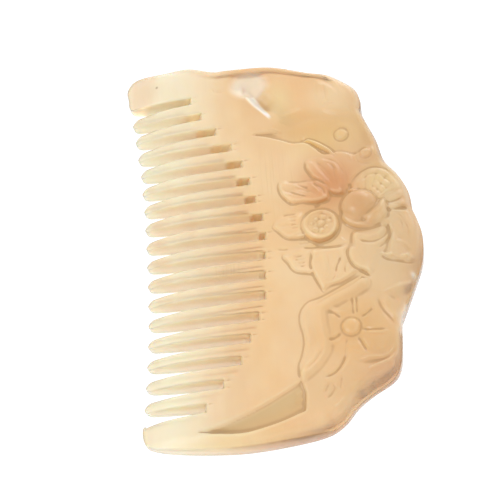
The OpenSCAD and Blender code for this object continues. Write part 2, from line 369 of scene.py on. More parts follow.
def sample(grid, points):
    """Values of the grid at any points."""
    q = (points - GRID_LOW) / CELL
    q = np.clip(q, 0, np.array(GRID_SIZE) - 1.001)
    i = np.floor(q).astype(int)
    f = q - i
    g = grid[i[:, 0], i[:, 1]] * (1 - f[:, 0]) * (1 - f[:, 1])
    g += grid[i[:, 0] + 1, i[:, 1]] * f[:, 0] * (1 - f[:, 1])
    g += grid[i[:, 0], i[:, 1] + 1] * (1 - f[:, 0]) * f[:, 1]
    return g + grid[i[:, 0] + 1, i[:, 1] + 1] * f[:, 0] * f[:, 1]


PLATE = plate_grid()

# Relief

# Zero point of the relief's tables, from the middle of the comb
RELIEF_AT = np.array([0.1, -1.9])
# Edges that face this way are crisp
CRISP_TO = (-0.66, -0.75)
# How far a form reaches past its outline
FOOT = 0.12
# The row of thin tips lies between these ends
TEETH_LOW_Y = -44.9
TEETH_HIGH_Y = 43.6

POD_AT = (12.1, 2.0)
POD_RISE = 1.25
OUTER_SEEDS = 7
POD_PITS = [((10.7, 0.2), 0.7), ((10.4, 2.2), 0.35), ((14.6, 3.4), 0.3), ((12.9, 5.3), 0.25)]
BUD_AT = (22.0, 5.9)
BUD_RADIUS = 4.5
BUD_RISE = 3.38
BUTTON_AT = (17.0, -25.3)
BUTTON_RADIUS = 2.15
BERRIES = [((19.4, 27.5), 1.7), ((24.9, 20.9), 1.45)]

# Lip, dish and veins of all petals, their crisp edge and the cut beside it
PETAL_LIP = 0.09
PETAL_DISH = 0.6
PETAL_VEIN = 1.3
PETAL_EDGE = 0.45
PETAL_CUT = 0.308
# Petals of the large flower: outline; foot; end; top and low heights over the
# face at foot and end; dish; width over which the edges away from the light
# fade; number of veins and their depth
PETALS = [
    dict(
        loop=[
            (9.9, 20.4), (9.8, 18.6), (10.6, 16.9), (11.5, 15.6), (13.6, 13.6), (15.6, 10.5),
            (18.4, 10), (19.9, 12.5), (19.7, 16), (18.9, 18.8), (16.8, 21), (13.4, 21.7),
            (10.8, 21.3),
        ],
        foot=(17.6, 9.5), end=(12.2, 20.4), top=1.3, low=0.55,
        dish=0.45, fade=2.4, veins=8, vein=0.2,
    ),
    dict(
        loop=[
            (19.8, 10.4), (20.6, 12.4), (21.8, 14.2), (23.6, 15.8), (26.2, 16.6), (29.2, 15.6),
            (31.8, 12.5), (33.3, 9.5), (34, 5.6), (31.5, 4.2), (28.2, 4.2), (24, 8),
        ],
        foot=(23.5, 5), end=(29.5, 14), top=1.3, low=0.4,
        dish=0.4, fade=2.4, veins=11, vein=0.18,
    ),
    dict(
        loop=[
            (27, 4.6), (30.2, 4.6), (33.6, 3.6), (34.9, 0), (35.3, -4.6), (34.2, -8.8),
            (32.2, -10.1), (29.4, -9.6), (26.6, -8.2), (27.6, -5.5), (28.6, -1.5), (27.4, 2),
        ],
        foot=(25.5, 4), end=(33, -8), top=1.3, low=0.5,
        dish=0.5, fade=2.6, veins=6, vein=0.12,
    ),
    dict(
        loop=[
            (2.7, 14.4), (2.8, 12.8), (3.7, 11), (5.4, 9.2), (8, 8.9), (12, 8.4),
            (14.8, 9), (15.4, 11), (14.4, 13.2), (12.4, 14.9), (9.4, 15.2), (6.6, 15.3),
            (4.4, 16), (3.2, 15.7),
        ],
        foot=(15, 7.5), end=(3.6, 13), top=1.4, low=0.6,
        dish=0.5, fade=1.6, veins=9, vein=0.24,
    ),
    dict(
        loop=[
            (0.6, 3.1, 1), (2, 1.5), (3.4, 0), (5, -0.6), (8.3, -0.6), (9.5, 2),
            (9, 5.4), (7.5, 6.7), (4.8, 6.6), (2.6, 6), (1.3, 4.7),
        ],
        foot=(10.4, 2.4), end=(1, 3), top=1.3, low=0.35,
        dish=0.25, fade=2.6, veins=8, vein=0.1,
    ),
    dict(
        loop=[
            (2.5, -5.3), (3.6, -7), (4.5, -8.7), (5.6, -9.6), (7.4, -10.1), (9.6, -10.2),
            (10, -7), (11.5, -4), (8.5, -3.2), (5.5, -3.3), (3.4, -4),
        ],
        foot=(11, -2), end=(4, -7.8), top=1.3, low=0.5,
        dish=0.35, fade=2.4, veins=8, vein=0.1,
    ),
    dict(
        loop=[
            (19.2, -3.4), (18.3, -5), (18.1, -7), (18.7, -9), (20, -10.4), (21.6, -11.4),
            (22.7, -12.5, 1), (24.4, -10.8), (26.2, -8), (27.6, -5), (28.6, -1.4),
            (27.5, 1.2), (23, 0.6), (20, -0.5),
        ],
        foot=(23, 1), end=(20.6, -10.4), top=1.4, low=0.7,
        dish=0.6, fade=3, veins=4, vein=0.08,
    ),
    dict(
        loop=[
            (9.4, -5.8), (8.9, -8), (9.3, -10.2), (10.1, -12.4), (11.4, -15.4, 1),
            (13.4, -14.1), (16, -13.5), (18.4, -12.3), (20.2, -11, 1), (18.8, -9.4),
            (18.2, -6.5), (18, -3.9), (13, -3.7), (9.9, -4.2),
        ],
        foot=(13.8, -2), end=(12.6, -14), top=1.3, low=0.65,
        dish=0.45, fade=1.8, veins=5, vein=0.12,
    ),
]
# Grooves and ridges: line, width, rise
# Those of the flower are cut deeper than polishing leaves them
WORN = 1.5
FLOWER_STROKES = [
    ([(11.2, 14.9), (13.2, 13.6), (14.6, 11.6), (14.9, 9.8)], 0.24, 0.34),
    ([(10.8, 14.2), (12.6, 12.9), (13.7, 11.2), (13.9, 9.2)], 0.24, -0.42),
    ([(12.2, 14.9), (14.4, 13.1), (15.4, 11)], 0.24, -0.36),
    ([(10.6, 13.4), (12, 12), (12.8, 10.2)], 0.24, 0.3),
    ([(7, 14.2), (8.6, 13.4), (10.2, 12.4)], 0.24, -0.3),
    ([(6.4, 13.2), (8.4, 12.4), (10.6, 11)], 0.24, -0.3),
    ([(5.2, 12.4), (7.4, 11.4), (9.6, 10.2)], 0.24, -0.26),
    ([(4.6, 11.2), (6.6, 10.4), (8.6, 9.6)], 0.24, -0.2),
    ([(4.2, 15.4), (7, 14.9), (10.4, 14.8)], 0.24, -0.26),
    ([(13.6, 20.9), (16.4, 19.9), (18.3, 17.4), (18.8, 15)], 0.24, -0.24),
    ([(14.4, 19.6), (16.2, 18.6), (17.4, 16.6)], 0.24, -0.2),
    ([(12, 20.9), (14.2, 18), (16, 14.4)], 0.24, -0.2),
    ([(19.7, 10.3), (20.2, 11.6), (20, 13)], 0.3, -0.4),
    ([(25.4, 11.4), (26.8, 9.8), (27.8, 8.4)], 0.24, -0.22),
    ([(26.4, 13), (28, 11.2), (29.2, 9.6)], 0.24, -0.22),
    ([(27.6, 14.2), (29.2, 12.6), (30.6, 10.8)], 0.24, -0.22),
    ([(27.2, 7.2), (29, 8.6), (31.2, 9.6)], 0.24, -0.24),
    ([(28.6, 5.6), (30.8, 6.2), (33, 7.4)], 0.24, -0.28),
    ([(28.8, 4.5), (31, 4.4), (33.6, 4)], 0.32, -0.2),
    ([(28.6, 3.6), (31.4, 3.2), (33.8, 2.6)], 0.3, 0.3),
    ([(31, 1.6), (31.6, 0), (31.6, -2.2)], 0.3, -0.16),
    ([(20, -2.9), (22.2, -3.9), (24.6, -4.2), (27, -3), (28.5, -0.4)], 0.26, -0.34),
    ([(20.6, -2), (23, -2.9), (26, -2.2), (27.6, 0)], 0.4, 0.2),
    ([(24.6, -6.4), (26.8, -4.8), (28.9, -2.2), (29.3, 0)], 0.3, -0.3),
    ([(25, -6.4), (27.6, -8.3), (30.6, -9.7), (33, -9.2)], 0.28, -0.36),
    ([(25.6, -7), (27, -7.9), (28.6, -8.1)], 0.34, 0.6),
    ([(30.2, -8.5), (31.2, -8.9), (32.2, -8.5)], 0.3, 0.5),
    ([(29.4, -4.6), (31.4, -5.4), (33, -7.6)], 0.5, 0.22),
    ([(14.6, -11.6), (15.1, -9.6), (16.5, -6.9)], 0.24, -0.4),
    ([(13.4, -13.6), (14.8, -11.6)], 0.24, -0.24),
    ([(11.6, -5.6), (12.4, -9.4), (12.2, -13)], 0.7, 0.18),
    ([(17, -12.2), (16.9, -10.6), (17.6, -8.2)], 0.24, -0.22),
    ([(9.5, -5.6), (9, -8), (9.3, -10)], 0.24, -0.34),
    ([(19, -9.3), (19.9, -10.1), (20.6, -10.5)], 0.24, 0.3),
    ([(0.9, -3), (2.6, -3.3), (4.2, -3.3)], 0.24, -0.24),
    ([(5, -0.4), (7, 0), (9.2, 0.6)], 0.24, -0.24),
    ([(7.2, -3.4), (9.4, -3.7), (11.6, -3.6)], 0.26, -0.38),
    ([(6.6, -1), (8, -1.1), (9.2, -1.2)], 0.24, -0.24),
    ([(6, -2.2), (7.6, -2.3), (9.4, -2.3)], 0.24, -0.24),
    ([(2.8, 5.7), (4.2, 6), (6.8, 5.9)], 0.24, -0.3),
    ([(4.4, 4.8), (5.4, 5), (6.7, 4.8)], 0.24, -0.3),
    ([(4.5, 3.9), (5.5, 4), (6.6, 3.9)], 0.24, -0.32),
    ([(4.7, 2.9), (5.7, 3), (6.8, 2.9)], 0.24, -0.32),
    ([(4.8, 1.9), (5.8, 2), (7, 1.9)], 0.24, -0.28),
    ([(4.5, -5.6), (6, -5.8), (7.7, -5.7)], 0.24, -0.26),
    ([(4.9, -6.5), (6.4, -6.7), (8.1, -6.5)], 0.24, -0.28),
    ([(5.4, -7.4), (6.8, -7.6), (8.2, -7.4)], 0.24, -0.28),
    ([(6, -8.4), (7.2, -8.5), (8.2, -8.4)], 0.24, -0.24),
    ([(10.8, 7.5), (11.7, 7.5), (12.6, 8)], 0.3, -0.4),
    ([(10.4, 20.7), (9.8, 18.8), (10.6, 17), (11.5, 15.6)], 0.26, -0.3),
    ([(2.7, 14.6), (2.9, 12.8), (3.7, 11), (5.7, 9.2)], 0.24, -0.26),
    ([(5, 9.8), (5.8, 9)], 0.34, -0.3),
    ([(22.6, -12.6), (21.4, -11.8), (20.2, -11)], 0.4, -0.4),
    ([(20, 11.6), (21.6, 14.2), (23.6, 15.9), (26.2, 16.7),
      (29.2, 15.7), (31.7, 12.6), (33, 9.5)], 0.26, -0.3),
    ([(22.4, 12), (24, 13.8), (26.4, 14.6), (28.8, 13.8), (30.6, 11.6)], 0.26, -0.2),
    ([(28.2, 5.4), (31, 5), (33.4, 3.8), (34.4, 0.4), (34.6, -4)], 0.26, -0.28),
    ([(29.6, 3.2), (31.6, 1.8), (32.8, -1.4), (32.6, -4.6)], 0.3, -0.2),
]
SECOND_FLOWER_STROKES = [
    ([(17.9, -17.8), (17.8, -19.8), (17.8, -22.6)], 0.22, -0.75),
    ([(18.9, -17.8), (18.7, -19.8), (18.6, -22.4)], 0.22, -0.75),
    ([(18.4, -17.8), (18.3, -19.8), (18.15, -22.4)], 0.14, 0.24),
    ([(11.8, -20.9), (13.3, -21.4), (14.9, -22.9)], 0.32, -0.62),
    ([(12.2, -20.2), (13.8, -20.7), (15.4, -22)], 0.4, 0.24),
    ([(19.2, -23.1), (21, -22.4), (22.8, -21)], 0.3, -0.52),
    ([(18.9, -25.9), (21.4, -26.5), (25.4, -27)], 0.24, -0.56),
    ([(19.8, -26.9), (22.6, -27.4), (26.2, -27.4)], 0.26, 0.36),
    ([(18.2, -27.7), (19.1, -29.8), (20.1, -32.2)], 0.28, -0.58),
    ([(19, -27.9), (20, -29.8), (20.9, -31.6)], 0.3, 0.26),
    ([(11.2, -28), (13, -27.7), (14.7, -26.4)], 0.3, -0.54),
    ([(11.4, -28.9), (13.4, -28.5), (15, -27.4)], 0.4, 0.22),
    ([(15.8, -27.9), (15.3, -30), (14.9, -32)], 0.3, -0.3),
    ([(23.9, -17.9), (24, -20), (24.9, -22.2), (26.6, -24.6), (28, -27.2)], 0.55, -0.45),
    ([(24.9, -18.6), (25.2, -20.4), (26.2, -22.4), (27.8, -24.4)], 0.5, 0.3),
    ([(17.4, -33.6), (20.6, -33.2), (23.6, -33.4), (25.6, -32.2), (26.8, -30)], 0.3, 0.5),
    ([(18, -34.5), (21.4, -34.3), (24.4, -34), (26.2, -32.9)], 0.3, -0.22),
    ([(19.4, -35.9), (22.6, -35), (25.4, -33.9), (26.8, -32.2)], 0.34, 0.75),
    ([(15.2, -31), (14.5, -33.2), (12.4, -35.9), (9, -37.1)], 0.32, -0.6),
    ([(16.2, -31.4), (15.5, -33.8), (13.2, -36.6)], 0.5, 0.22),
    ([(10.4, -29.7), (8.6, -32.4), (6.6, -34.2), (4.9, -35.3)], 0.3, -0.5),
    ([(13.9, -36.8), (13.4, -38.6), (12.9, -40.6)], 0.3, -0.3),
    ([(11, -38.2), (11.9, -39.4), (11.1, -41), (9.4, -42.2)], 0.34, -0.34),
    ([(9.4, -40.8), (10.2, -39.2), (11, -38.4)], 0.3, -0.26),
    ([(11, -44.2), (12.6, -43.4), (13.8, -41.9)], 0.34, 0.3),
    ([(24.4, -17.5), (27.4, -16.6), (30.4, -15.6), (33, -14.2)], 0.4, 0.34),
]
TOP_STROKES = [
    ([(-6.6, 44.4), (-7.9, 46.2), (-7.8, 48.2), (-6.6, 49.8)], 0.4, -0.2),
    ([(-5.2, 42.8), (-4.4, 43.6), (-3.6, 43.4)], 0.6, -0.3),
    ([(-12.9, 47), (-12.2, 45.4), (-10.8, 44.9), (-9.6, 45.4)], 0.35, -0.2),
]
LOBE_STROKES = [
    ([(16.2, 43.6), (16.4, 40.4), (16.6, 37)], 0.35, -0.22),
    ([(15.2, 36.7), (16.8, 36.9), (18.4, 36.6)], 0.3, -0.18),
    ([(12.4, 46.6), (16, 44.6), (18.6, 41.8), (20.4, 38.8)], 0.6, -0.2),
]
LEAF_STROKES = [
    ([(10.6, 26.9), (12.6, 25.5), (14.8, 23.6)], 0.2, 0.3),
    ([(12, 26.5), (14, 24.9), (16.4, 22.7)], 0.2, 0.34),
    ([(9.8, 28.8), (9.9, 27.4)], 0.24, 0.3),
]
BERRY_STROKES = [
    ([(21.8, 21), (22.4, 18.6)], 0.22, 0.32),
    ([(20.8, 21.4), (21.4, 19.2)], 0.2, 0.24),
    ([(18.2, 29.8), (20.2, 29.6), (21.6, 28.4)], 0.25, -0.26),
]
# Outlines of the other forms, with a third value of 1 at a corner
HOLLOW = [
    (-4, 30.6, 1), (0, 29.7), (4, 28), (7, 26.6), (10, 26.4), (12.2, 24.6),
    (14.6, 22.2), (18.5, 22.4), (22, 21), (27.4, 20), (27, 29), (24, 33),
    (19.5, 35.2), (14, 36.6), (9, 36), (4.5, 34), (1, 32),
]
LOBE = [
    (14, 44.9), (17.8, 44.6), (21.6, 42.2), (23.8, 39.2), (24.4, 36), (23.6, 32.4),
    (20, 33), (15.6, 34.8), (13.8, 38), (13.4, 42),
]
LONG_LEAF = [
    (9.6, 27.2, 1), (11.2, 26.4), (13.4, 24.6), (15.6, 22.8), (17, 21.8, 1), (16.4, 23.4),
    (13.8, 25.6), (11.4, 27.2),
]
SMALL_LEAF = [(22.2, 21.2), (23.4, 18.7), (26.0, 18.2), (28.0, 20.2), (27.6, 22.6), (25.0, 23.4)]
LENS = [(6.0, 7.7, 1), (7.2, 6.9), (8.6, 6.9), (9.9, 7.8, 1), (8.6, 8.6), (7.2, 8.6)]
SHEATH = [
    (17.4, 3.8), (18.2, 1.9), (20.2, 0.4), (22.6, -0.5), (25.2, -0.4), (27.6, 0.8), (28.4, 3.2),
    (28, 6.6), (22, 6), (18.5, 5.8),
]
BUD_LEAF = [
    (22.6, 2.4), (24, 3.7), (26, 5.2), (27.8, 7), (28.6, 5), (28.5, 2.4), (27, 0.5),
    (24.6, 0.4), (23, 1.2),
]
RIBBON_OUTER = [
    (20.4, -12.6), (15, -15.2), (10.6, -17.2), (7.4, -18.2), (5.7, -20.4), (5.4, -23),
    (5.9, -25.6), (6, -28.4), (5.2, -31.4), (4.4, -33.4), (4.3, -35.6),
]
RIBBON_INNER = [
    (20.6, -14.6), (18, -16.3), (15, -17.4), (12, -18.8), (10.2, -20.4), (9.9, -23),
    (10.2, -26.4), (10.3, -29.6), (8.4, -32.6), (6.4, -34.4), (4.7, -35.6),
]
SECOND_FLOWER = [
    (11, -20.6), (14.5, -18.6), (18.6, -17), (22.6, -16.8), (25, -19), (26.2, -22),
    (27.8, -25), (28.4, -28), (27.4, -31), (25.4, -33.4), (22, -34.6), (18, -34.4),
    (15, -33), (13, -31.4), (11, -28.6), (10.4, -25),
]
SHOULDER = [
    (8, -44.6), (12.4, -43.2), (15.4, -39.6), (19.4, -36.4), (22.6, -35.6), (25.4, -34.5),
    (27.2, -32.2),
]
FACET = [
    (25.4, -17.8, 1), (29.2, -16.4), (33, -14.6, 1), (31.5, -20), (28.4, -25.4, 1),
    (26.6, -22),
]
# Hollow at the top: the steep bevel along its lower left
BEVEL = [(-4.9, 43.2), (-3.7, 41.2), (-2.3, 39.2), (-0.9, 37.6), (0.5, 35.9), (1.9, 34.1)]
BEVEL_HALF = 1.15
DISH_AT = (-3.1, 45.9)
# Painted highlights, hazy and pale, along stretches of the spine's edge: line, width
HIGHLIGHT_EDGES = [
    ([(32.8, -12.8), (33.8, -14.4), (34.6, -16)], 0.7),
    ([(30.4, -20.6), (29.1, -23.6), (28.7, -27.2)], 0.8),
]
# Crescent below the teeth: its upper edge, then its lower edge
CRESCENT_TOP = [
    (-20.6, -46.9), (-15, -45.5), (-10, -43.8), (-5, -41.8), (0, -39.3), (4.6, -36.8),
]
CRESCENT_LOW = [
    (5, -44.2), (0, -46), (-5, -47.3), (-10, -48), (-15, -47.6), (-20.6, -46.9),
]


class Relief:
    """Adds carved forms to a height over the back at many points."""

    def __init__(self, points):
        self.points = points
        self.p = points - RELIEF_AT
        self.z = sample(PLATE, points)

    def share(self, loop, edge, fade, crisp_to=CRISP_TO, reach=2.5):
        """How far a form has risen inside a loop: at once along its crisp
        edges, over a longer way along the others."""
        d, way = edge_of(self.p, smooth_loop(loop), reach)
        crisp = smoothstep(0.25 + 0.95 * (way @ np.array(crisp_to)))
        wide = edge + (fade - edge) * (1 - crisp)
        return d, crisp, smoothstep((d + FOOT) / wide)

    def over(self, loop, height, edge, cut, fade=None):
        """A form with a crisp edge and a narrow cut beside it."""
        d, crisp, share = self.share(loop, edge, fade or edge)
        if fade is None:
            crisp = 1
        self.z += share * (height(d) - self.z)
        self.z -= cut * crisp * bell(d + 0.3, 0.24)

    def petal(self, loop, foot, end, top, low, dish, fade, veins, vein):
        foot, end = np.array(foot), np.array(end)
        size = np.linalg.norm(end - foot)
        ahead = (end - foot) / size
        rel = self.p - foot
        u = (rel @ ahead) / size
        angle = np.arctan2(rel @ np.array([-ahead[1], ahead[0]]), rel @ ahead)
        out = gap_from(self.p, foot) / size

        def height(d):
            base = FACE + top + (low - top) * np.clip(u, -0.3, 1.2)
            lip = PETAL_LIP * bell(d - 0.45, 0.32)
            sunk = PETAL_DISH * dish * smoothstep((d - 0.3) / 3.2)
            lines = 0.5 + 0.5 * np.cos(angle * veins * 2 + 1.3 * np.sin(3 * angle))
            reach = smoothstep((out - 0.25) / 0.3) * smoothstep((d - 0.4) / 0.8)
            return base + lip - sunk - PETAL_VEIN * vein * lines**3 * reach

        self.over(loop, height, PETAL_EDGE, PETAL_CUT, fade)

    def stroke(self, line, width, rise, taper=0.25):
        """A groove (rise below 0) or a ridge along a line."""
        dist, share = line_distance(self.p, smooth_line(line), 4 * width)
        ends = smoothstep(share / taper) * smoothstep((1 - share) / taper)
        self.z += rise * ends * bell(dist, width)

    def strokes(self, rows):
        for line, width, rise in rows:
            self.stroke(line, width, rise)


def bevel_gap(p):
    """Distance from the upper edge of the bevel into the hollow, and the
    share of the way along it."""
    curve = smooth_line(BEVEL)
    gap, along = line_distance(p, curve, 16)
    loop = np.vstack([curve, [(20, 26), (20, 60), (-5.6, 60)]])
    return np.where(inside_loop(p, loop), gap, -gap), along


def crescent_gaps(p):
    """Distance into the crescent, and the share of the way from its lower to
    its upper edge."""
    low, top = smooth_line(CRESCENT_LOW), smooth_line(CRESCENT_TOP)
    end = smooth_line([CRESCENT_TOP[-1], (5.4, -40.0), CRESCENT_LOW[0]])
    d = signed_distance(p, np.vstack([top[:-1], end[:-1], low[:-1]]), 3)
    return d, share_between(p, low, top, 14)


def carve_tips(r):
    """The tips of the teeth are thin."""
    x, y = r.points.T
    in_row = (y < TEETH_HIGH_Y) & (y > TEETH_LOW_Y)
    near_tip = np.clip(1 - (x - row_x(y, TIP_Y, TOOTH_TIPS)) / 2.2, 0, 1)
    r.z -= np.where(in_row, 0.75 * near_tip**2, 0)


def carve_top(r):
    """Hollows, a lobe of the spine, small leaves and berries above the flower."""
    p = r.p
    # broad hollow, crisp along its lower edge
    d, _, share = r.share(HOLLOW, 0.5, 3.6, (-0.3, -0.95), 8)
    deep = 1.2 - 0.45 * smoothstep((p[:, 0] - 9) / 12)
    r.z -= share * deep * (1 - 0.4 * smoothstep(d / 6))
    # steep bevel, then a long rise, and a hazy dish beside it
    gap, along = bevel_gap(p)
    ends = smoothstep((1 - along) / 0.45) * smoothstep((47.5 - p[:, 1]) / 6)
    deep = smoothstep(gap / 2.4) * (1 - smoothstep((gap - 2.2) / 3.8))
    r.z -= np.where(gap > 0, 1.9 * deep * ends, 0)
    r.z -= 0.8 * smoothstep((1.1 - gap_from(p, DISH_AT, (5.4, 3.9))) / 0.8)
    r.strokes(TOP_STROKES)
    # soft lobe at the top of the spine, with a bevel along its edge
    r.over(LOBE, lambda d: FACE + 0.05 + 0.3 * smoothstep(d / 2.6), 1.6, 0.0, 3.0)
    r.strokes(LOBE_STROKES)
    # small leaves and streaks on the edges of the hollow
    r.stroke([(4.2, 34.6), (7.0, 35.4), (10.4, 36.4)], 0.7, 0.3)
    for k in range(3):
        line = np.array([
            (1.0 + 0.3 * k, 31.7 - 0.6 * k),
            (2.6 + 0.2 * k, 31.4 - 0.6 * k),
            (4.3, 30.6 - 0.6 * k),
        ])
        r.stroke(line, 0.2, 0.34)
        line += [(0.2, -0.3), (0.2, -0.3), (0.1, -0.3)]
        r.stroke(line, 0.18, -0.24)
    r.over(LONG_LEAF, lambda d: FACE + 0.3 + 0.5 * smoothstep(d / 0.9), 0.35, 0.3)
    r.strokes(LEAF_STROKES)
    r.over(SMALL_LEAF, lambda d: FACE - 0.1 + 0.4 * smoothstep(d / 1.2), 0.6, 0.2, 1.4)
    # berries, each a low dome in a ring
    for place, radius in BERRIES:
        gap = gap_from(p, place)
        r.z += 0.5 * dome(gap, radius)
        r.z -= 0.34 * bell(gap - radius - 0.1, 0.28)
    r.strokes(BERRY_STROKES)


def carve_flower(r):
    """Petals of the large flower, and a lens-shaped leaf sunk above its pod."""
    for petal in PETALS:
        r.petal(**petal)
    for line, width, rise in FLOWER_STROKES:
        r.stroke(line, width, WORN * rise)
    r.over(LENS, lambda d: FACE + 0.35 - 0.1 * smoothstep(d / 0.8), 0.4, -0.16)


def carve_bud(r):
    """Bud in its sheath."""
    r.over(SHEATH, lambda d: FACE + 1.15 + 0.5 * smoothstep(d / 1.6), 0.7, 0.2)
    gap = gap_from(r.p, BUD_AT, (1, 0.96))
    top = FACE + BUD_RISE * dome(gap, BUD_RADIUS, 2.4)
    r.z = np.where(gap < BUD_RADIUS, np.maximum(r.z, top), r.z)
    below = smoothstep(-0.5 - (r.p[:, 1] - BUD_AT[1]) / 4)
    r.z -= (0.22 + 0.4 * below) * bell(gap - BUD_RADIUS - 0.22, 0.32)
    r.over(BUD_LEAF, lambda d: FACE + 1.8 + 0.8 * smoothstep(d / 1.8), 0.8, 0.16)
    r.stroke([(24.6, 1.6), (26.4, 2.6), (27.6, 4.6)], 0.3, -0.24)
    # the notch between the sheath and the right petal stays shallow
    far = gap_from(r.p, (27.4, 0.9))
    r.z = np.where(far < 1.4, np.maximum(r.z, FACE + 1.45 - 0.35 * far), r.z)


def carve_pod(r):
    """Seed pod, dished, with a rim and seeds."""
    pod = r.p - np.array(POD_AT)
    gap = gap_from(r.p, POD_AT)
    body = FACE - 0.1 * pod[:, 1] + POD_RISE
    body += 0.1 * bell(gap - 3.9, 0.3) - 0.2 * smoothstep((3.5 - gap) / 0.8)
    r.z += smoothstep((4.65 - gap) / 0.8) * (body - r.z)
    r.z -= 0.34 * bell(gap - 4.8, 0.32)
    r.z -= 0.24 * bell(gap - 3.15, 0.26)
    seeds = [(0.15, 0.3, 0.95)]
    for a in np.linspace(0.3, 5.7, OUTER_SEEDS):
        x = (2.0 + 0.3 * math.sin(3 * a)) * math.cos(a)
        y = (1.9 + 0.3 * math.sin(2 * a)) * math.sin(a)
        seeds.append((x, y, 0.6 + 0.2 * math.cos(5 * a)))
    for x, y, radius in seeds:
        far = gap_from(pod, (x, y))
        r.z += 0.34 * dome(far, radius)
        r.z -= 0.22 * bell(far - radius - 0.1, 0.18)
    for place, depth in POD_PITS:
        r.z -= depth * bell(gap_from(r.p, place), 0.32)
    # dark stretch of wall below the pod
    r.stroke([(9.6, -1.6), (11.2, -3.2), (13.6, -4.1), (18.0, -4.3)], 0.5, -0.6)
    for k in range(3):
        line = [(16.4 + 0.4 * k, -1.7 - 0.35 * k), (17.4 + 0.4 * k, -2.7 - 0.3 * k)]
        r.stroke(line, 0.18, 0.26)


def carve_ribbon(r):
    """Ribbon leaf that winds down beside the second flower: low outer edge,
    high inner edge, then a soft fall."""
    outer, inner = smooth_line(RIBBON_OUTER), smooth_line(RIBBON_INNER)
    d = signed_distance(r.p, np.vstack([outer, inner[::-1]]), 3)
    across = share_between(r.p, outer, inner, 9)
    body = FACE + 0.5 + 0.85 * smoothstep(across / 0.9) - 0.22 * bell(across - 0.3, 0.22)
    rise = smoothstep((d + FOOT) / 0.4) * (body - r.z)
    r.z = np.where((d > -FOOT) & (across < 0.5), r.z + rise, r.z)
    slope = np.where(d > 0, body, FACE + 1.35 - 1.5 * smoothstep(-d / 2.6))
    r.z = np.where((d > -2.6) & (across >= 0.5), np.maximum(r.z, slope), r.z)
    r.z -= 0.24 * bell(d + 0.32, 0.26) * (across < 0.5)


def carve_second_flower(r):
    """A soft bowl with grooves about its button, and the shoulder below it."""
    p = r.p
    d = signed_distance(p, smooth_loop(SECOND_FLOWER), 5)
    gap = gap_from(p, BUTTON_AT)
    bowl = FACE + 0.35 + 0.055 * np.clip(gap - 3, 0, 8)
    r.z += smoothstep(d / 3.2) * (bowl - r.z)
    r.z -= 0.3 * bell(gap - 3.2, 1.2)
    button = FACE + 0.3 + 0.95 * dome(gap, BUTTON_RADIUS)
    r.z = np.where(gap < BUTTON_RADIUS, np.maximum(r.z, button), r.z)
    r.z -= 0.26 * bell(gap - BUTTON_RADIUS - 0.1, 0.3)
    r.strokes(SECOND_FLOWER_STROKES)
    r.z -= 0.3 * bell(gap_from(p, (10.6, -40.2), (1.1, 1.7)), 1)
    # round shoulder between the second flower's rim and the edge
    shoulder = np.vstack([smooth_line(SHOULDER), [(34, -32), (34, -60), (8, -60)]])
    r.z -= 1.7 * smoothstep(signed_distance(p, shoulder, 12) / 5.5)
    # side facet below the large flower
    facet = signed_distance(p, smooth_loop(FACET), 4)
    r.z -= 0.9 * smoothstep(facet / 2.2) * smoothstep((-13.5 - p[:, 1]) / 2)


def carve_crescent(r):
    """Long crescent below the teeth: its floor falls from a crisp upper edge to
    the foot of the lip along its lower edge."""
    d, up = crescent_gaps(r.p)
    deep = 0.9 + 1.4 * smoothstep((1 - up) / 0.9)
    r.z -= np.where(d > -0.4, smoothstep((d + FOOT) / 0.6) * deep, 0)
    r.stroke(CRESCENT_LOW[::-1], 0.8, 0.3, 0.08)
    r.stroke([(x - 0.3, y + 0.9) for x, y in CRESCENT_TOP], 0.9, -0.16, 0.12)
    for k in range(3):
        line = [
            (1.4 + 0.7 * k, -43.4 + 1.5 * k),
            (3.0 + 0.4 * k, -42.8 + 1.6 * k),
            (4.8, -42.6 + 1.6 * k),
        ]
        r.stroke(line, 0.22, 0.2)


def carve_run_outs(r):
    """Run-out of the saw past the root of each slot."""
    for i, root in enumerate(SLOT_ROOTS):
        for side, size in ((0.85, 3.0), (-0.85, 2.6 if i % 3 == 0 else 1.2)):
            x, y = np.array([root - 0.3, slot_y(i) + side]) - RELIEF_AT
            line = np.array([(x, y), (x + size / 2, y - 0.02), (x + size, y - 0.12)])
            dist, share = line_distance(r.p, line, 1.0)
            r.z -= 0.5 * smoothstep((1 - share) / 0.7) * bell(dist, 0.19)


def carved_height(points):
    r = Relief(points)
    for carve in (
        carve_tips, carve_top, carve_flower, carve_bud, carve_pod, carve_ribbon,
        carve_second_flower, carve_crescent, carve_run_outs,
    ):
        carve(r)
    return r.z


GRID_X, GRID_Y = np.meshgrid(
    *(GRID_LOW[k] + CELL * np.arange(GRID_SIZE[k]) for k in (0, 1)), indexing="ij"
)
CARVED = carved_height(np.column_stack([GRID_X.ravel(), GRID_Y.ravel()])).reshape(GRID_SIZE)
POLISHED = blur(CARVED, 1.5)


def height_at(points):
    """Carved height, worn soft by polishing."""
    return 0.5 * carved_height(points) + 0.5 * sample(POLISHED, points)


# Edge of the comb with its slots

def tooth_half(share, from_tip):
    """Half width of a tooth, by the way from its root and from its tip."""
    cap = math.sqrt(max(0.0, 1 - (1 - min(from_tip / TIP_ROUND, 1)) ** 2))
    return float(np.interp(share, TOOTH_SHARE, TOOTH_HALF)) * cap


